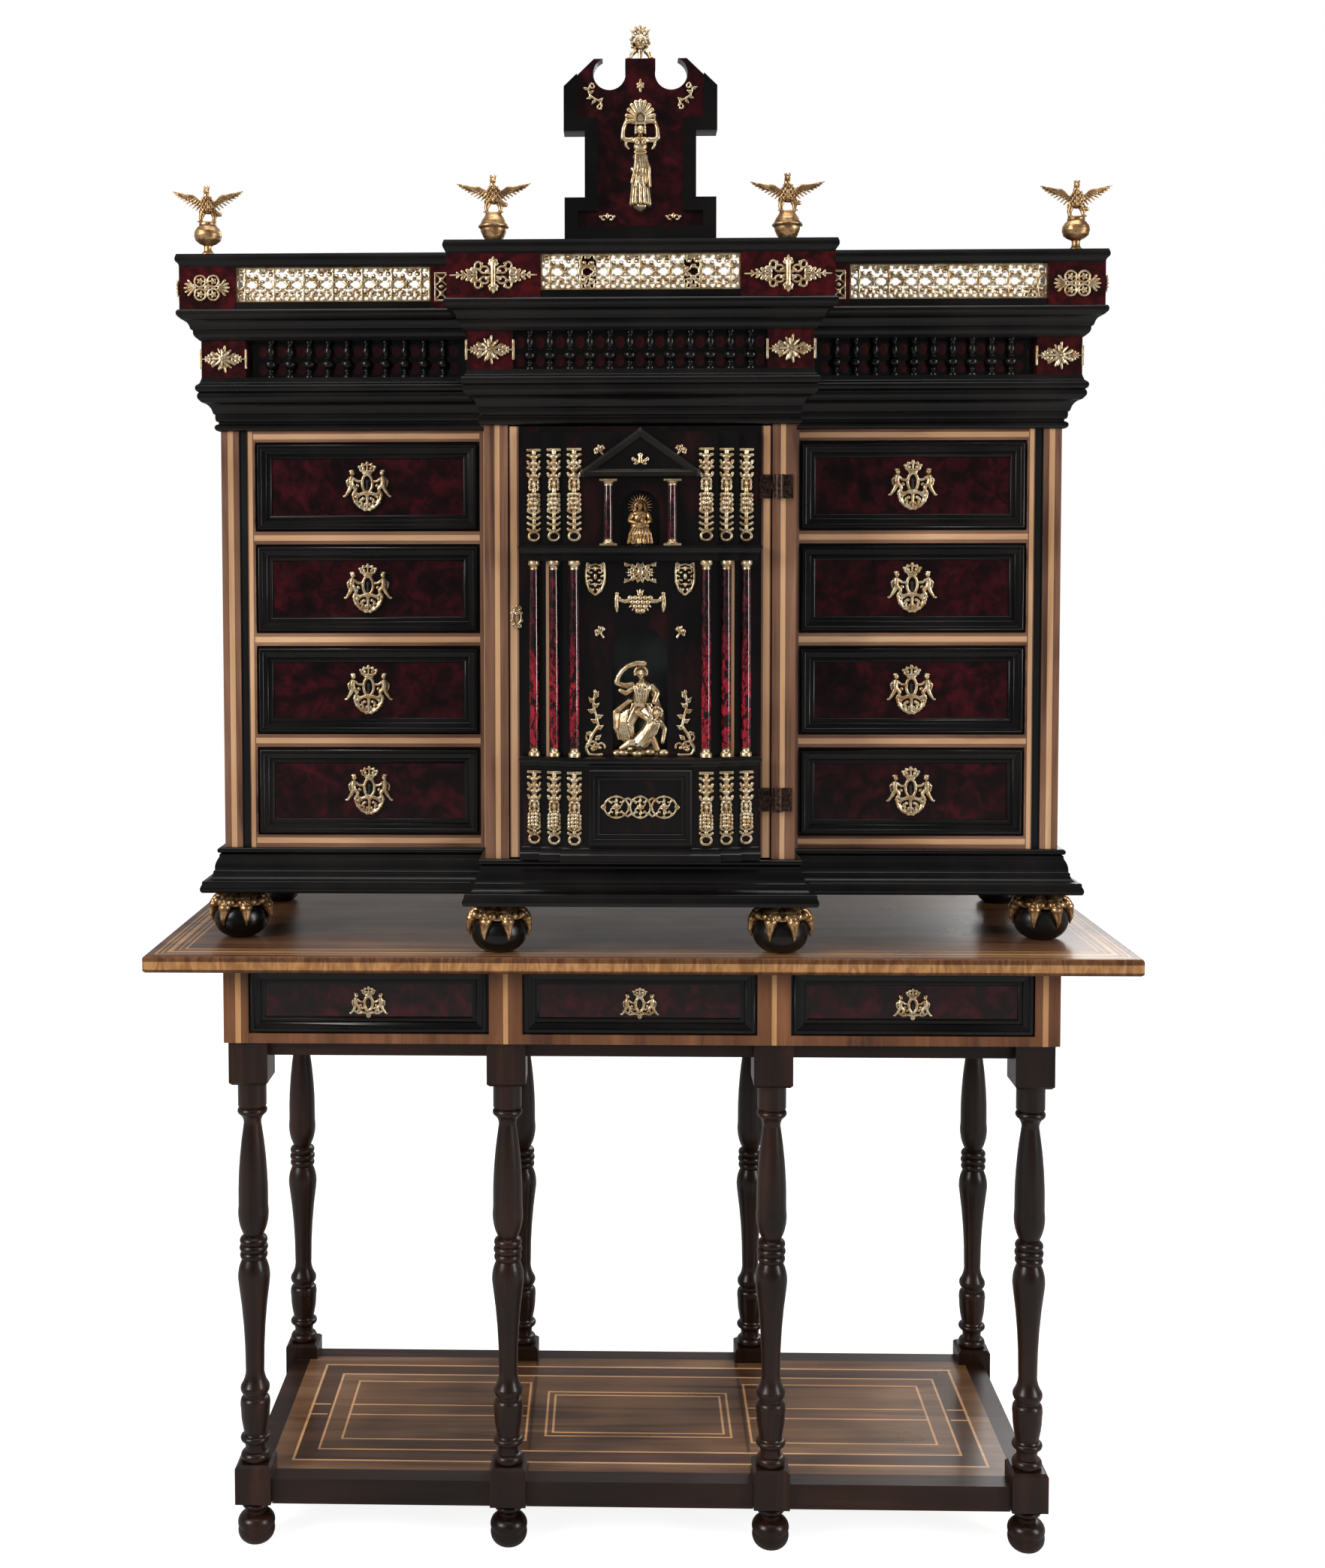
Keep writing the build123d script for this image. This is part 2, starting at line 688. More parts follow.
with BuildPart() as balusters:
    with Locations(*[(side * x, wing_y - baluster_out, band_z) for x in wing_places for side in (-1, 1)]):
        add(one_baluster.part)
    with Locations(*[(x, centre_y - baluster_out, band_z) for x in centre_places]):
        add(one_baluster.part)
balusters.part.label = "balusters"
export_step(balusters.part, "parts/balusters.step")

crown_outline = [
    (-crown_depth, 0),
    (24.0, 0),
    (27.5, 3),
    (31.5, 13, 1.6),
    (34.5, 15),
    (35.5, 18),
    (45.5, 28, -2.0),
    (49.0, 31),
    (49.0, crown_h, 2.4),
    (-crown_depth, crown_h),
]
deck_z = (gallery_z - deck_t, gallery_z)
deck_edge = crown_depth + glue_line
with BuildPart() as upper_cornice:
    add(runs_round(case_plan, crown_z, crown_outline))
    board((-half_case + deck_edge, half_case - deck_edge), (wing_y + deck_edge, case_back), deck_z)
    board((-half_centre + deck_edge, half_centre - deck_edge),
          (centre_y + deck_edge, wing_y + crown_depth), deck_z)
upper_cornice.part.label = "upper_cornice"
export_step(upper_cornice.part, "parts/upper_cornice.step")

# ================================================================ gallery
gallery_t = 20.0
wing_rail_y = (wing_y - gallery_out, wing_y - gallery_out + gallery_t)
centre_rail_y = (centre_y - gallery_out, centre_y - gallery_out + gallery_t)
gallery_zz = (gallery_z, rail_z)
end_block_x = (half_case + gallery_out - end_block_w, half_case + gallery_out)
centre_block_x = (half_centre + gallery_out - centre_block_w, half_centre + gallery_out)
post_x = (centre_block_x[1], centre_block_x[1] + post_w)
rear_block_y = (case_back - end_block_w * 0.7, case_back)
end_block_y = (wing_rail_y[0], wing_rail_y[0] + end_block_w * 0.7)
with BuildPart() as gallery_blocks:
    for x in both_sides(end_block_x):
        board(x, end_block_y, gallery_zz)
        board(x, rear_block_y, gallery_zz)
    for x in both_sides(centre_block_x):
        board(x, (centre_rail_y[0], centre_rail_y[1]), gallery_zz)
    for x in both_sides((centre_block_x[1] - gallery_t, centre_block_x[1])):
        board(x, (centre_rail_y[1] + glue_line, wing_rail_y[1]), gallery_zz)
    for x in both_sides((post_x[0] + glue_line, post_x[1])):
        board(x, wing_rail_y, gallery_zz)
gallery_blocks.part.label = "gallery_blocks"
export_step(gallery_blocks.part, "parts/gallery_blocks.step")

rail_outline = [
    (gallery_out - gallery_t, 0),
    (gallery_out, 0),
    (gallery_out + 1.5, 5, -0.5),
    (rail_out - 0.5, 8),
    (rail_out - 0.5, 14, 0.5),
    (rail_out - 2, rail_h),
    (gallery_out - gallery_t - 2, rail_h),
]
side_y = (end_block_y[1], rear_block_y[0])
wing_gap = (post_x[1], end_block_x[0])
centre_gap = (-centre_block_x[0], centre_block_x[0])
curb_z = (gallery_z, gallery_z + gallery_plinth_h)
with BuildPart() as gallery_rails:
    add(runs_round(case_plan, rail_z, rail_outline))
    for x in both_sides(wing_gap):
        board(x, (wing_rail_y[0] + 1, wing_rail_y[1]), curb_z)
    board(centre_gap, (centre_rail_y[0] + 1, centre_rail_y[1]), curb_z)
    for x in both_sides((half_case + gallery_out - gallery_t, half_case + gallery_out - 1)):
        board(x, side_y, curb_z)
gallery_rails.part.label = "gallery_rails"
export_step(gallery_rails.part, "parts/gallery_rails.step")

# Pierced gilt grilles between the blocks, as a net of lozenges in a narrow border
grille_z = (curb_z[1], rail_z)
grille_set = 6.0
lozenge = 8.0


def grille(length, height):
    """One upright grille about its own middle, pierced by lozenges in two staggered rows."""
    step = 2 * lozenge + 2.4
    count = int((length - 8) // step)
    with BuildPart() as net:
        with BuildSketch(Plane.XZ.offset(-grille_t / 2)):
            Rectangle(length, height)
            with GridLocations(step, height / 2 - 2, count, 2):
                RegularPolygon(lozenge, 4, rotation=0, mode=Mode.SUBTRACT)
        extrude(amount=grille_t)
    return net.part


grille_h = grille_z[1] - grille_z[0]
grille_mid_z = (grille_z[0] + grille_z[1]) / 2
wing_grille = grille(wing_gap[1] - wing_gap[0], grille_h)
centre_grille = grille(centre_gap[1] - centre_gap[0], grille_h)
side_grille = grille(side_y[1] - side_y[0], grille_h)
with BuildPart() as gallery_grilles:
    with Locations(*[(side * (wing_gap[0] + wing_gap[1]) / 2, wing_rail_y[0] + grille_set, grille_mid_z)
                     for side in (-1, 1)]):
        add(wing_grille)
    with Locations((0, centre_rail_y[0] + grille_set, grille_mid_z)):
        add(centre_grille)
    with Locations(*[Location((side * (half_case + gallery_out - grille_set), (side_y[0] + side_y[1]) / 2,
                               grille_mid_z), (0, 0, 90)) for side in (-1, 1)]):
        add(side_grille)
gallery_grilles.part.label = "gallery_grilles"
export_step(gallery_grilles.part, "parts/gallery_grilles.step")

# ================================================================ finials
pedestal_ball_r = 19.5
end_pedestal = [
    (0, 0),
    (9.5, 0),
    (5.5, 5, -1.0),
    (5.5, 14),
    (pedestal_ball_r, 27, 3.0),
    (12.0, 42, 4.0),
    (11.5, 46),
    (0, 46),
]
centre_pedestal = [
    (0, 0),
    (10.5, 0),
    (18.0, 16, 0.8),
    (pedestal_ball_r, 20, 0.6),
    (18.0, 23, 0.6),
    (10.5, 38, 0.5),
    (0, 38),
]


def winged_beast(pedestal):
    """A beast with raised wings on a turned pedestal, in simple solids, base at the origin."""
    top = pedestal[-1][1]
    with BuildPart() as beast:
        with BuildSketch(Plane.XZ):
            outline(pedestal)
        revolve(axis=Axis.Z)
        with BuildSketch(Plane.XZ.offset(-5)):
            outline([
                (-12, top - 1),
                (-7, top - 1),
                (-4, top + 10),
                (5, top + 9),
                (7, top - 1),
                (12, top - 1),
                (17, top + 18, -2.0),
                (2, top + 27, 2.0),
                (2, top + 40),
                (4, top + 46),
                (-5, top + 50),
                (-9, top + 42),
                (-13, top + 24),
                (-13, top + 12),
            ])
        extrude(amount=10)
        with BuildSketch(Plane.XZ.offset(-2)):
            with Locations((-10, top + 22), (10, top + 22)):
                Circle(5)
            outline([(-6, top + 16), (-8, top + 34), (-24, top + 34), (-44, top + 42), (-32, top + 24)])
            outline([(6, top + 18), (8, top + 38), (24, top + 38), (44, top + 46), (34, top + 28)])
        extrude(amount=4)
    return beast.part


end_beast = winged_beast(end_pedestal)
centre_beast = winged_beast(centre_pedestal)
finial_z = rail_z + rail_h
end_finial_x = (end_block_x[0] + end_block_x[1]) / 2
centre_finial_x = (centre_block_x[0] + centre_block_x[1]) / 2
with BuildPart() as one_acorn:
    with BuildSketch(Plane.XZ):
        outline([
            (0, 0),
            (7.5, 0),
            (7.5, 2),
            (5.5, 4),
            (6.5, 7),
            (6.0, 13, 0.8),
            (0.6, 19, 2.0),
            (0, 19),
        ])
    revolve(axis=Axis.Z)
with BuildPart() as finials:
    with Locations(*[(side * end_finial_x, (wing_rail_y[0] + wing_rail_y[1]) / 2, finial_z) for side in (-1, 1)]):
        add(end_beast)
    with Locations(*[(side * centre_finial_x, (centre_rail_y[0] + centre_rail_y[1]) / 2, finial_z)
                     for side in (-1, 1)]):
        add(centre_beast)
    with Locations(*[(side * (half_case + gallery_out - gallery_t / 2), case_back - end_block_w * 0.35, finial_z)
                     for side in (-1, 1)]):
        add(one_acorn.part)
finials.part.label = "finials"
export_step(finials.part, "parts/finials.step")

# ================================================================ crest
crest_front_y = centre_y - rail_out + crest_setback
crest_back_y = crest_front_y + crest_t
crest_shaft_z = crest_z + crest_base_h
crest_arm_z = crest_shaft_z + crest_shaft_h
crest_horn_z = crest_arm_z + crest_arm_h
crest_top = crest_horn_z + crest_horn_h
scoop_z = crest_horn_z + crest_horn_h - 20.0


def crest_outline(inset):
    """Half of the crest's stepped outline, set in from its edge."""
    half = (crest_base_w / 2 - inset, crest_shaft_w / 2 - inset, crest_arm_w / 2 - inset)
    return [
        (0, crest_z + inset),
        (half[0], crest_z + inset),
        (half[0], crest_shaft_z - inset),
        (half[1], crest_shaft_z - inset),
        (half[1], crest_arm_z + inset),
        (half[2], crest_arm_z + inset),
        (half[2], crest_horn_z - inset * 0.3),
        (crest_horn_x + 6 - inset * 0.3, crest_top - inset * 0.6),
        (0, crest_top - inset * 0.6),
    ]


def crest_face(half, mode=Mode.ADD):
    """Both halves of an outline given for the right-hand side."""
    for side in (-1, 1):
        with BuildLine() as edge:
            Polyline(*[(side * x, z) for x, z in half], close=True)
        make_face(edge.edges(), mode=mode)


def scoops():
    """The two round scoops below the horns and the flats beside the neck, cut away."""
    flat_w = crest_horn_x - crest_neck_w / 2 - 6
    for side in (-1, 1):
        with Locations((side * scoop_x, scoop_z)):
            Circle(scoop_r, mode=Mode.SUBTRACT)
        with Locations((side * (crest_neck_w / 2 + flat_w / 2), crest_top)):
            Rectangle(flat_w, 2 * (crest_top - scoop_z), mode=Mode.SUBTRACT)


band_t = 10.0
batten_x = (60.0, 85.0)
rail_clear = 2.2        # the battens pass behind the rail
with BuildPart() as crest_board:
    with BuildSketch(Plane.XZ.offset(-crest_back_y)):
        crest_face(crest_outline(0))
        scoops()
    extrude(amount=crest_back_y - crest_front_y)
    for x in both_sides(batten_x):
        board(x, (centre_rail_y[1] + rail_clear, crest_back_y), (gallery_z, crest_z + 1))
crest_board.part.label = "crest_board"
export_step(crest_board.part, "parts/crest_board.step")

inner_edge = crest_outline(crest_band_w)[:-2]
inner_edge = inner_edge + [(inner_edge[-1][0], crest_top + 50), (0, crest_top + 50)]
with BuildPart() as crest_moulding:
    with BuildSketch(Plane.XZ.offset(-crest_front_y)):
        crest_face(crest_outline(0))
        scoops()
        crest_face(inner_edge, Mode.SUBTRACT)
    extrude(amount=band_t)
crest_moulding.part.label = "crest_moulding"
export_step(crest_moulding.part, "parts/crest_moulding.step")


def plate(points, out_plane, thickness):
    """A flat mount with the given upright outline, its back on a plane that faces -Y."""
    with BuildSketch(Plane.XZ.offset(-out_plane)) as face:
        outline(points)
    extrude(face.sketch, amount=thickness)


def round_mount(x, z, width, height, out_plane):
    """A thin oval mount whose back lies on a plane that faces -Y."""
    with BuildSketch(Plane.XZ.offset(-out_plane)) as face:
        with Locations((x, z)):
            Ellipse(width / 2, height / 2)
    extrude(face.sketch, amount=mount_t)


crest_scroll_x = 62.0
crest_scroll_z = crest_arm_z + 46.0
crest_leaf_x = 45.0
crest_leaf_z = crest_z + 31.0
crest_star_z = crest_horn_z + 1.0
figure_z = crest_z + 45.0
figure_r = 9.4
figure_h = 141.0
with BuildPart() as crest_mounts:
    for side in (-1, 1):
        round_mount(side * crest_scroll_x, crest_scroll_z, 26, 38, crest_front_y)
        round_mount(side * crest_leaf_x, crest_leaf_z, 22, 15, crest_front_y)
    round_mount(0, crest_star_z, 18, 18, crest_front_y)
    with BuildSketch(Plane.XZ):
        outline([
            (0, 0),
            (figure_r, 0),
            (figure_r, 6),
            (7, 12),
            (8.5, 50, -1.5),
            (6, 76),
            (8.5, 92, 0.6),
            (4, 101),
            (6, 110, 2.0),
            (4, 118),
            (9, 130, -1.5),
            (7, figure_h),
            (0, figure_h),
        ])
    figure = revolve(axis=Axis.Z, mode=Mode.PRIVATE)
    with Locations((0, crest_front_y - figure_r - glue_line, figure_z)):
        add(figure)
crest_mounts.part.label = "crest_mounts"
export_step(crest_mounts.part, "parts/crest_mounts.step")

# A bust on a little socle closes the crest's neck
socle_r = crest_neck_w / 2 + 2
with BuildPart() as one_bust:
    with BuildSketch(Plane.XZ):
        outline([
            (0, 0),
            (socle_r, 0),
            (socle_r, 4),
            (9, 7),
            (8, 10),
            (16, 18, 2.0),
            (5.5, 24, -1.0),
            (5.0, 29),
            (9.5, 38, 2.0),
            (1.0, crest_head_h, 2.8),
            (0, crest_head_h),
        ])
    revolve(axis=Axis.Z)
with BuildPart() as crest_bust:
    with Locations((0, (crest_front_y + crest_back_y) / 2, crest_top)):
        add(one_bust.part)
crest_bust.part.label = "crest_bust"
export_step(crest_bust.part, "parts/crest_bust.step")

# ================================================================ mounts on blocks
block_mount_w = 34.0
block_mount_h = 44.0
frieze_mid_z = (band_z + crown_z) / 2
gallery_mid_z = (gallery_z + rail_z) / 2
wing_block_x = half_case + frieze_block_out - frieze_block_w / 2
centre_frieze_x = half_centre + frieze_block_out - frieze_block_w / 2
with BuildPart() as frieze_mounts:
    for side in (-1, 1):
        round_mount(side * wing_block_x, frieze_mid_z, block_mount_w, block_mount_h,
                    wing_y - frieze_block_out)
        round_mount(side * centre_frieze_x, frieze_mid_z, block_mount_w, block_mount_h,
                    centre_y - frieze_block_out)
frieze_mounts.part.label = "frieze_mounts"
export_step(frieze_mounts.part, "parts/frieze_mounts.step")

quatrefoil_w = 46.0
post_mount_w = 20.0
with BuildPart() as gallery_mounts:
    for side in (-1, 1):
        round_mount(side * end_finial_x, gallery_mid_z, quatrefoil_w, quatrefoil_w, wing_rail_y[0])
        round_mount(side * centre_finial_x, gallery_mid_z, 2 * quatrefoil_w, quatrefoil_w, centre_rail_y[0])
        post_mid = side * (post_x[0] + post_x[1]) / 2
        board((post_mid - post_mount_w / 2, post_mid + post_mount_w / 2),
              (wing_rail_y[0] - mount_t, wing_rail_y[0]),
              (gallery_mid_z - post_mount_w, gallery_mid_z + post_mount_w))
gallery_mounts.part.label = "gallery_mounts"
export_step(gallery_mounts.part, "parts/gallery_mounts.step")

# ================================================================ door hinges
hinge_x = half_door + hinge_offset
hinge_y = centre_y - hinge_axis_out
hinge_mid = (case_z + hinge_low, case_z + hinge_high)
knuckle_h = (hinge_h - 2 * hinge_gap) / 3
plate_x = hinge_x + hinge_r + 0.5
with BuildPart() as fixed_hinges:
    for z in hinge_mid:
        low = z - hinge_h / 2
        for start in (low, low + 2 * (knuckle_h + hinge_gap)):
            with Locations((hinge_x, hinge_y, start + knuckle_h / 2)):
                Cylinder(hinge_r, knuckle_h)
            board((hinge_x, plate_x + 1), (centre_y - 2 * hinge_plate_t, centre_y), (start, start + knuckle_h))
        board((plate_x, plate_x + hinge_plate_w), (centre_y - hinge_plate_t, centre_y), (low, low + hinge_h))
        with Locations((hinge_x, hinge_y, z)):
            Cylinder(hinge_pin_r, hinge_h)
fixed_hinges.part.label = "fixed_hinges"
export_step(fixed_hinges.part, "parts/fixed_hinges.step")

# ================================================================ the portal door
door_z = (case_z + door_gap, cornice_z - door_gap)
foot_top = door_z[0] + pedestal_foot_h
pedestal_top = case_z + pedestal_h
column_z = pedestal_top
entablature_z = column_z + column_h
attic_z = entablature_z + entablature_h
attic_top = door_z[1] - 9.0
with BuildPart() as door_leaf:
    board((-half_door, half_door), (centre_y, centre_y + door_t), door_z)
door_leaf.part.label = "door_leaf"
export_step(door_leaf.part, "parts/door_leaf.step")


def step_face(number, out=0.0):
    """Front of one step of the portal, counted from the outside."""
    return centre_y - (number + 1) * door_step_t - out


def stepped_plan(out):
    """The portal's three steps as a plan, standing forward of the steps by out."""
    left = [(-door_strip_x[0], centre_y)]
    for number, x in enumerate(door_strip_x):
        if number > 0:
            left.append((-x, step_face(number - 1, out)))
        left.append((-x, step_face(number, out)))
    return left + [(-x, y) for x, y in reversed(left)]


niche_y = 3 * door_step_t
with BuildPart() as door_steps:
    for number, x in enumerate(door_strip_x):
        board((-x, x), (step_face(number), centre_y), (door_z[0], attic_top))
        projection_y = (step_face(number, pedestal_out), centre_y)
        board((-x, x), projection_y, (door_z[0], pedestal_top))
        board((-x, x), projection_y, (entablature_z, attic_z))
    with BuildSketch(Plane.XZ.offset(-centre_y)):
        for half, height, low in ((niche_x, niche_h, column_z), (upper_niche_x, upper_niche_h, attic_z)):
            with Locations((0, low + (height - half) / 2)):
                Rectangle(2 * half, height - half)
            with Locations((0, low + height - half)):
                Circle(half)
    extrude(amount=niche_y, mode=Mode.SUBTRACT)
door_steps.part.label = "door_steps"
export_step(door_steps.part, "parts/door_steps.step")

# Mouldings of the portal: foot, pedestal cap, entablature, pediment, and a framed panel
foot_outline = [
    (0, 0),
    (4.5, 0),
    (4.5, 9),
    (2.5, 11),
    (0.8, 19, 1.5),
    (0, pedestal_foot_h),
]
cap_outline = [
    (0, 0),
    (0.8, 0),
    (3.5, 5, -1.0),
    (4.5, 7),
    (4.5, 12, 0.8),
    (0, pedestal_cap_h),
]
entablature_outline = [
    (0, 0),
    (0.5, 0),
    (0.5, 8),
    (2.5, 9),
    (4.5, 15, -1.0),
    (5.5, 17),
    (5.5, entablature_h),
    (0, entablature_h),
]
panel_outline = [
    (0, 0),
    (15, 0),
    (15, 2),
    (12, 4, 0.6),
    (8, 4),
    (6, 6.5, 0.8),
    (2, 6.5),
    (0, 5),
]
pediment_x = 74.0
pediment_h = 57.0
pediment_t = 9.0
pediment_z = attic_top - pediment_h - 2.0
pedestal_front = step_face(2, pedestal_out)
door_plan = stepped_plan(pedestal_out)
panel_zone = (foot_top + 3, pedestal_top - pedestal_cap_h - 3)
with BuildPart() as door_mouldings:
    add(runs_round(door_plan, door_z[0], foot_outline))
    add(runs_round(door_plan, pedestal_top - pedestal_cap_h, cap_outline))
    add(runs_round(door_plan, entablature_z, entablature_outline))
    add(frame_round((-door_panel_x, door_panel_x), panel_zone, pedestal_front, panel_outline))
    plate([(-pediment_x, pediment_z), (pediment_x, pediment_z), (0, pediment_z + pediment_h)],
          step_face(2), pediment_t)
door_mouldings.part.label = "door_mouldings"
export_step(door_mouldings.part, "parts/door_mouldings.step")


# Turned columns between gilt bases and capitals
def column_shaft(radius, height):
    """A shaft that swells a little at a third of its height and thins towards the top."""
    with BuildPart() as shaft:
        with BuildSketch(Plane.XZ):
            outline([
                (0, 0),
                (radius, 0),
                (radius * 0.84, height, radius * 0.12),
                (0, height),
            ])
        revolve(axis=Axis.Z)
    return shaft.part


def column_end(radius, height):
    """A turned base or capital with a flat of greater radius away from the shaft."""
    with BuildPart() as end:
        with BuildSketch(Plane.XZ):
            outline([
                (0, 0),
                (radius, 0),
                (radius, height * 0.4),
                (radius * 0.78, height * 0.55),
                (radius * 0.72, height, -0.8),
                (0, height),
            ])
        revolve(axis=Axis.Z)
    return end.part


column_y = [step_face(number) - column_r - 2.2 for number in range(3)]
small_column_y = step_face(2) - small_abacus_d / 2 - 0.4
shaft_h = column_h - 2 * column_end_h
small_end_h = 9.0
small_shaft_h = small_column_h - 2 * small_end_h
large_shaft = column_shaft(column_r, shaft_h)
small_shaft = column_shaft(small_column_r, small_shaft_h)
large_end = column_end(column_r + 1.8, column_end_h)
with BuildPart() as plated_end:
    add(column_end(small_column_r + 2.4, small_end_h))
    Box(small_abacus_w, small_abacus_d, small_abacus_t, align=(Align.CENTER, Align.CENTER, Align.MIN))
small_end = plated_end.part
column_spots = [(side * x, y) for x, y in zip(column_x, column_y) for side in (-1, 1)]
small_spots = [(side * small_column_x, small_column_y) for side in (-1, 1)]
with BuildPart() as door_columns:
    with Locations(*[(x, y, column_z + column_end_h) for x, y in column_spots]):
        add(large_shaft)
    with Locations(*[(x, y, attic_z + small_end_h) for x, y in small_spots]):
        add(small_shaft)
door_columns.part.label = "door_columns"
export_step(door_columns.part, "parts/door_columns.step")

# Gilt mounts: bases, capitals, pilaster mounts, and the mounts of the panels between them
herm_w = 20.0
herm_h = 102.0
herm_z = foot_top + 2 + herm_h / 2
attic_herm_h = 128.0
attic_herm_z = attic_z + 6 + attic_herm_h / 2
panel_mount_w = 104.0
panel_mount_h = 34.0
garland_w = 72.0
garland_h = 34.0
garland_z = 221.0       # garland, pierced mount and foliage above the columns' foot
pierced_w = 48.0
pierced_h = 31.0
pierced_z = 253.0
foliage_x = 65.0
foliage_w = 22.0
foliage_h = 92.0
bracket_x = 62.0
bracket_w = 28.0
bracket_h = 46.0
bracket_z = 245.0
escutcheon_x = 171.6
escutcheon_z = case_z + 340.0
escutcheon_w = 16.0
escutcheon_h = 36.0
with BuildPart() as door_gilt:
    with Locations(*[(x, y, column_z) for x, y in column_spots]):
        add(large_end)
    with Locations(*[Location((x, y, entablature_z), (180, 0, 0)) for x, y in column_spots]):
        add(large_end)
    with Locations(*[(x, y, attic_z) for x, y in small_spots]):
        add(small_end)
    with Locations(*[Location((x, y, attic_z + small_column_h), (180, 0, 0)) for x, y in small_spots]):
        add(small_end)
    for number, x in enumerate(column_x):
        for side in (-1, 1):
            round_mount(side * x, herm_z, herm_w, herm_h, step_face(number, pedestal_out))
            round_mount(side * x, attic_herm_z, herm_w, attic_herm_h, step_face(number))
    for side in (-1, 1):
        round_mount(side * foliage_x, column_z + foliage_h / 2, foliage_w, foliage_h, step_face(2))
        round_mount(side * bracket_x, column_z + bracket_z, bracket_w, bracket_h, step_face(2))
    round_mount(0, (panel_zone[0] + panel_zone[1]) / 2, panel_mount_w, panel_mount_h, pedestal_front)
    round_mount(0, column_z + garland_z, garland_w, garland_h, step_face(2))
    round_mount(0, column_z + pierced_z, pierced_w, pierced_h, step_face(2))
    round_mount(-escutcheon_x, escutcheon_z, escutcheon_w, escutcheon_h, centre_y)
door_gilt.part.label = "door_gilt"
export_step(door_gilt.part, "parts/door_gilt.step")


# Figures in the two niches, as plain turned bodies on their feet
def figure_body(radius, height):
    """A draped standing figure in plain turned form."""
    with BuildPart() as body:
        with BuildSketch(Plane.XZ):
            outline([
                (0, 0),
                (radius, 0),
                (radius, height * 0.06),
                (radius * 0.8, height * 0.1),
                (radius * 0.6, height * 0.55, -1.5),
                (radius * 0.75, height * 0.72, 1.0),
                (radius * 0.25, height * 0.8),
                (radius * 0.34, height * 0.92, 1.0),
                (0.8, height, 1.0),
                (0, height),
            ])
        revolve(axis=Axis.Z)
    return body.part


rider_r = 14.0
rider_h = 128.0
fallen_r = 15.0
fallen_h = 62.0
seated_r = 13.0
seated_h = 68.0
with BuildPart() as door_figures:
    with Locations((-rider_r - 1, centre_y - rider_r - 1, column_z)):
        add(figure_body(rider_r, rider_h))
    with Locations((fallen_r + 1, centre_y - fallen_r - 1, column_z)):
        add(figure_body(fallen_r, fallen_h))
    with Locations((0, centre_y - seated_r - 1, attic_z)):
        add(figure_body(seated_r, seated_h))
door_figures.part.label = "door_figures"
export_step(door_figures.part, "parts/door_figures.step")

# Door side of the hinges, and the lock's case on the inside of the door
strap_w = 17.0
door_lock_w = 40.0
door_lock_h = 46.0
with BuildPart() as door_ironwork:
    for z in hinge_mid:
        strap_z = (z - hinge_h / 2, z + hinge_h / 2)
        middle = (z - knuckle_h / 2, z + knuckle_h / 2)
        board((half_door - strap_w, half_door), (centre_y - hinge_plate_t, centre_y), strap_z)
        board((half_door - 1, hinge_x), (centre_y - 2 * hinge_plate_t, centre_y - hinge_plate_t / 2), middle)
        with Locations((hinge_x, hinge_y, z)):
            Cylinder(hinge_r, knuckle_h)
            Cylinder(hinge_pin_r + hinge_fit, hinge_h, mode=Mode.SUBTRACT)
    board((-half_door + 4, -half_door + 4 + door_lock_w),
          (centre_y + door_t, centre_y + door_t + lock_t),
          (escutcheon_z - door_lock_h / 2, escutcheon_z + door_lock_h / 2))
door_ironwork.part.label = "door_ironwork"
export_step(door_ironwork.part, "parts/door_ironwork.step")

# ================================================================ drawers
drawer_outline = [
    (0, 0),
    (frame_w, 0),
    (frame_w, 3.0),
    (frame_w - 3, 4.2, 0.5),
    (frame_w - 6, 4.2),
    (frame_w - 8, 7.0, 0.6),
    (6, 8.0),
    (4.5, 10.0, -0.4),
    (1.5, 10.0),
    (0, 7.0, 0.8),
]
plate_w = 66.0
plate_h = 72.0
small_plate_w = 56.0
small_plate_h = 46.0
keyhole_w = 3.0
keyhole_h = 11.0


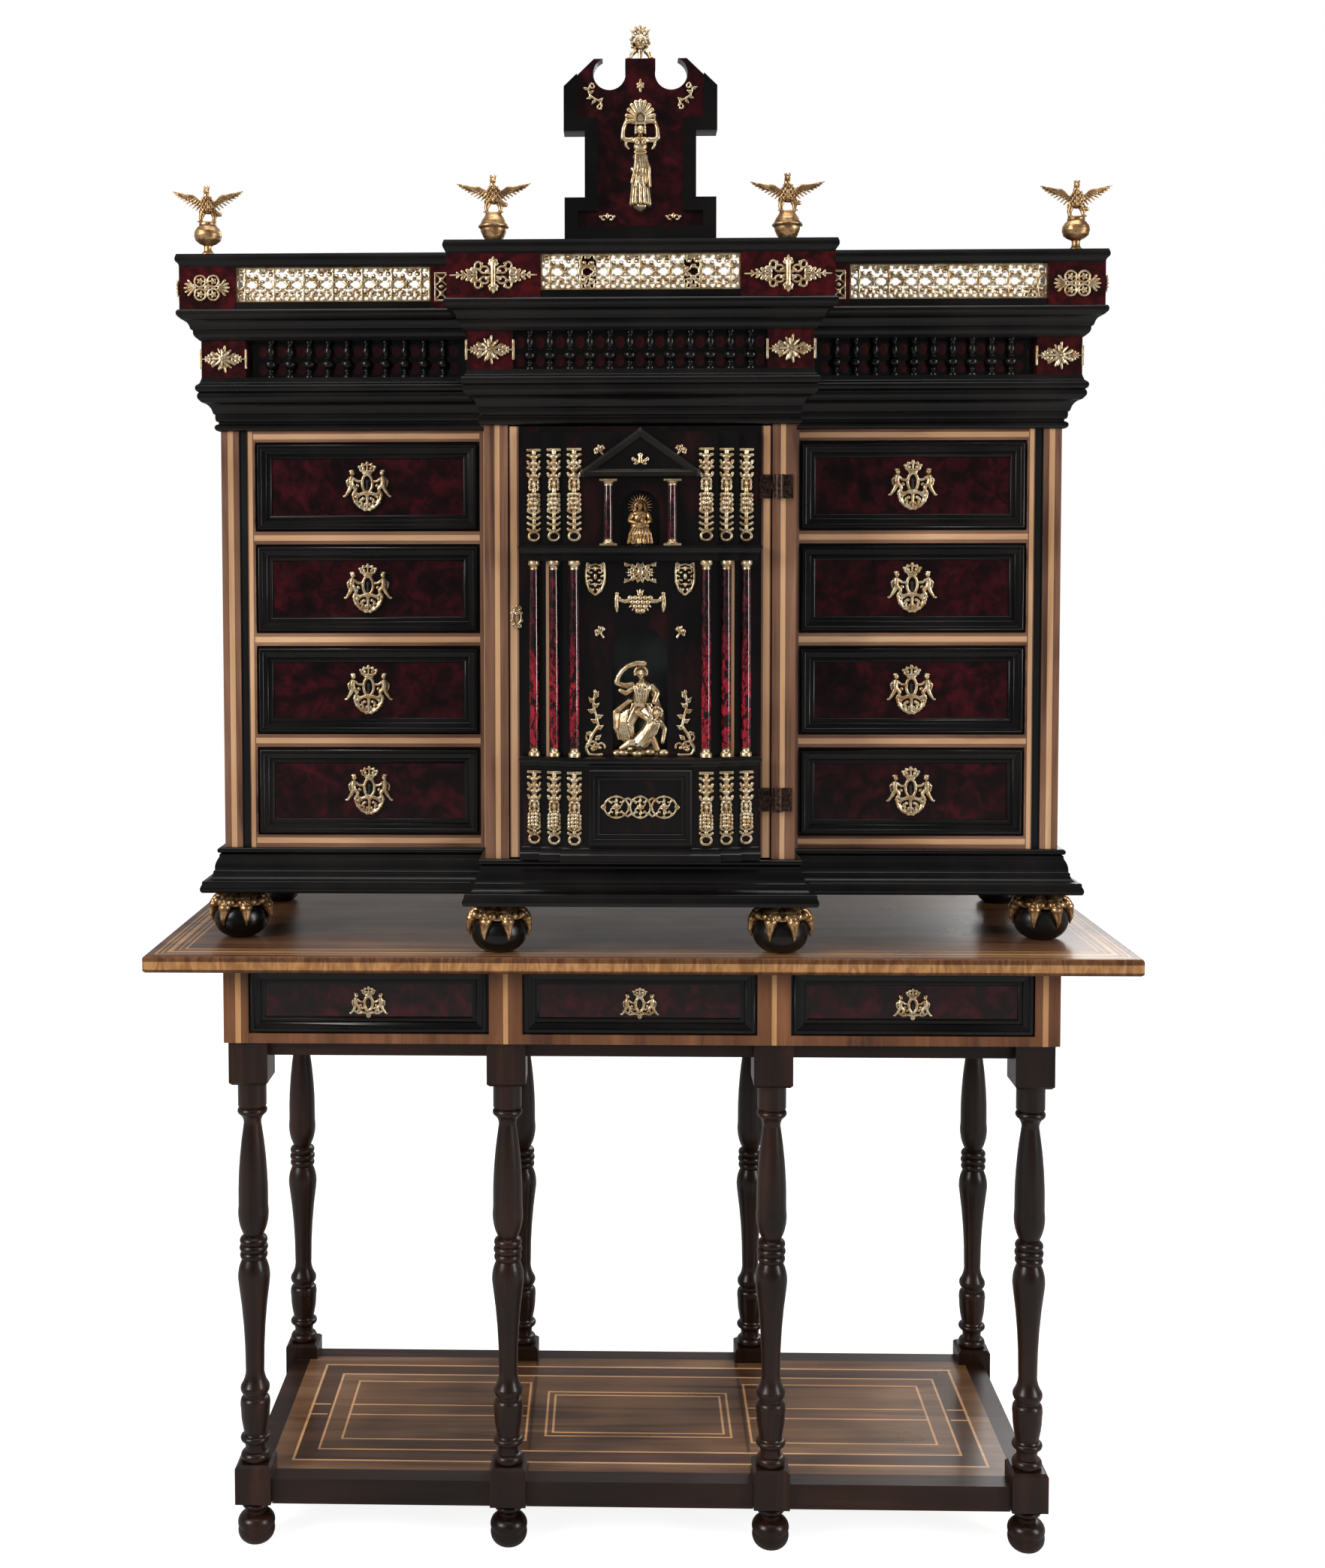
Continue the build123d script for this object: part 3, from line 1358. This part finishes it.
def drawer(label, x, z, face_y, back_y, cover_w, cover_h):
    """One drawer that fills the opening (x, z) behind face_y: its box and its moulded front."""
    front_x = (x[0] + drawer_gap, x[1] - drawer_gap)
    front_z = (z[0] + drawer_gap, z[1] - drawer_gap)
    front_y = (face_y + front_inset, face_y + front_inset + front_t)
    box_x = (x[0] + box_gap, x[1] - box_gap)
    box_z = (z[0] + rest_gap, z[1] - box_drop)
    middle = ((x[0] + x[1]) / 2, (z[0] + z[1]) / 2)
    with BuildPart() as box:
        board(box_x, (front_y[1], back_y), (box_z[0], box_z[0] + box_floor_t))
        board((box_x[0], box_x[0] + box_side_t), (front_y[1], back_y), box_z)
        board((box_x[1] - box_side_t, box_x[1]), (front_y[1], back_y), box_z)
        board(box_x, (back_y - box_back_t, back_y), box_z)
    box.part.label = label + "_box"
    export_step(box.part, "parts/" + label + "_box.step")

    edge_x = (front_x[0] + frame_margin, front_x[1] - frame_margin)
    edge_z = (front_z[0] + frame_margin, front_z[1] - frame_margin)
    skin_x = (edge_x[0] + frame_w + glue_line, edge_x[1] - frame_w - glue_line)
    skin_z = (edge_z[0] + frame_w + glue_line, edge_z[1] - frame_w - glue_line)
    skin_y = front_y[0] - glue_line - skin_t
    cover_y = skin_y - glue_line - plate_t
    with BuildPart() as front:
        board(front_x, front_y, front_z)
        add(frame_round(edge_x, edge_z, front_y[0] - glue_line, drawer_outline))
        board(skin_x, (skin_y, skin_y + skin_t), skin_z)
        with BuildSketch(Plane.XZ.offset(-cover_y - plate_t)) as cover:
            with Locations(middle):
                Ellipse(cover_w / 2, cover_h / 2)
                Rectangle(keyhole_w, keyhole_h, mode=Mode.SUBTRACT)
        extrude(amount=plate_t)
        board((middle[0] - lock_w / 2, middle[0] + lock_w / 2),
              (front_y[1] + glue_line, front_y[1] + glue_line + lock_t),
              (box_z[1] - lock_h, box_z[1]))
    front.part.label = label + "_front"
    export_step(front.part, "parts/" + label + "_front.step")


cabinet_back = inside_back - box_back_gap
stand_back = frieze_back - frieze_board_t - box_back_gap
for side, x in zip(("left", "right"), both_sides(bank_x)):
    for row, z in enumerate(row_z):
        drawer("drawer_" + side + "_" + str(row + 1), x, (z, z + row_h), wing_y, cabinet_back, plate_w, plate_h)
stand_openings = (both_sides(outer_opening)[0], (-centre_opening[1], centre_opening[1]), outer_opening)
for name, x in zip(("left", "centre", "right"), stand_openings):
    drawer("stand_drawer_" + name, x, opening_z, frieze_front, stand_back, small_plate_w, small_plate_h)
